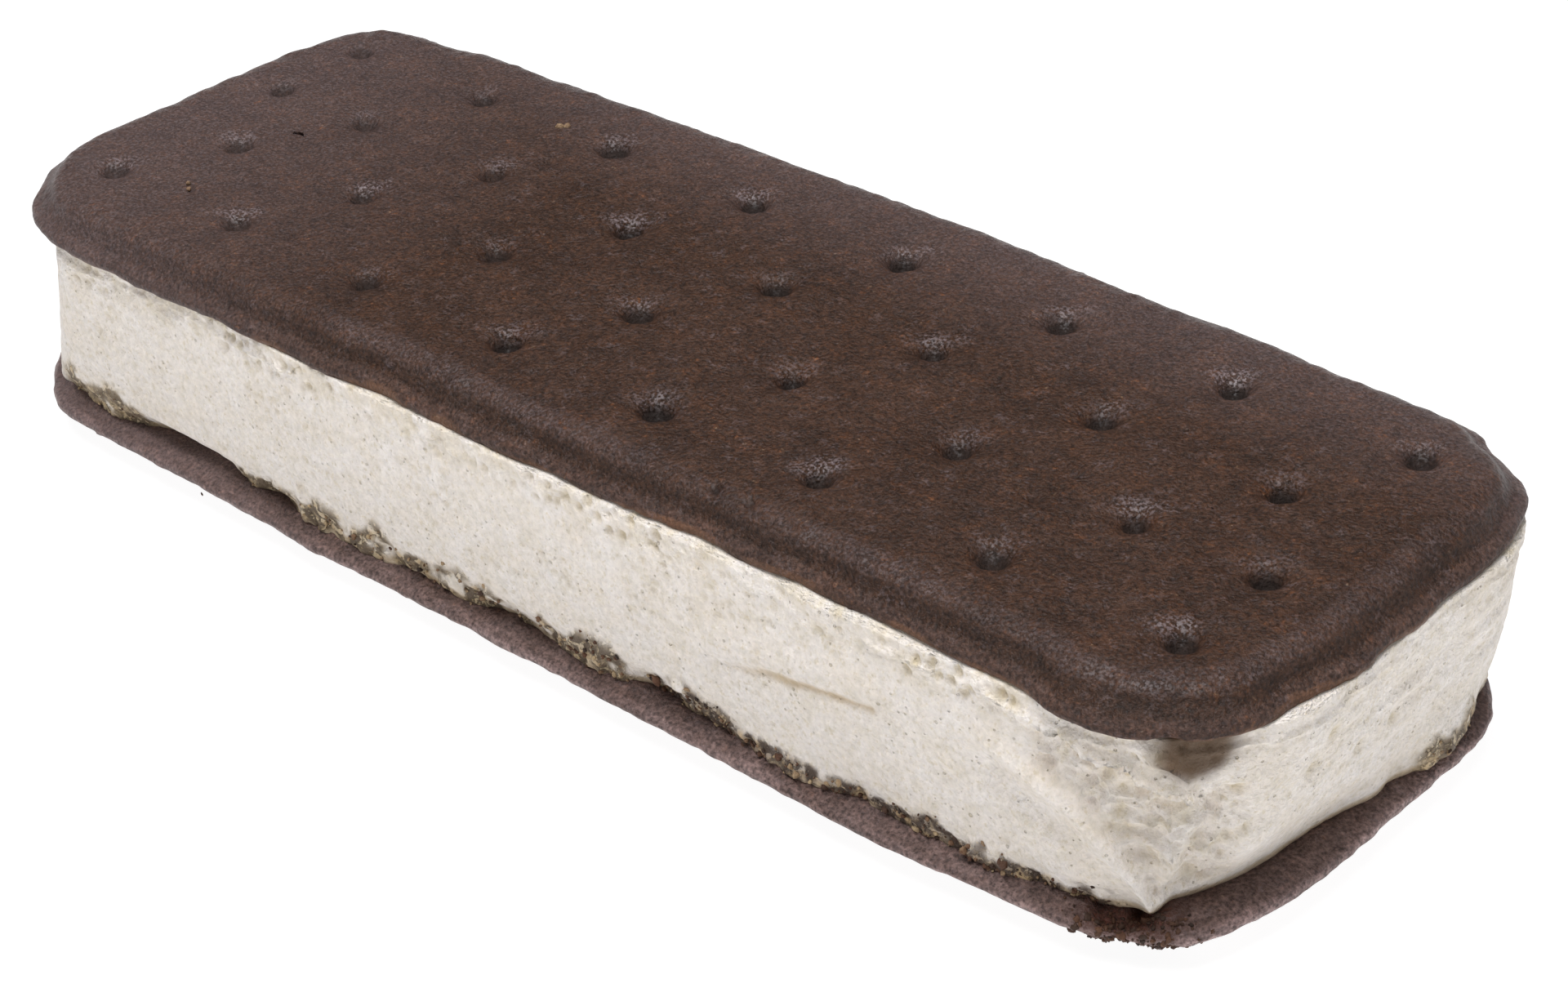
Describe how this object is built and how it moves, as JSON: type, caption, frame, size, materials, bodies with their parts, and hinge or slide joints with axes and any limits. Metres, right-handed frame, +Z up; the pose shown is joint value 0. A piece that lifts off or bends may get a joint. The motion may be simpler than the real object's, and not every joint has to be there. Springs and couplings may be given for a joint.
{
  "type": "ice cream sandwich",
  "caption": "Rounded rectangular ice cream sandwich: a slab of vanilla ice cream between soft chocolate wafers with rolled rims and rows of docking holes.",
  "frame": {"origin": "on the table, under the middle of the sandwich's box", "axes": "+X along the sandwich, +Y across it towards the back, +Z up, square to the wafers"},
  "size_m": [0.123, 0.0434, 0.021],
  "materials": {
    "wafer": "soft dark chocolate wafer, fine grained, dull with a faint sheen",
    "ice_cream": "off-white vanilla ice cream, porous and slightly moist"
  },
  "bodies": {
    "root": {"wafer_top": "wafer", "ice_cream": "ice_cream", "wafer_bottom": "wafer"}
  },
  "joints": []
}
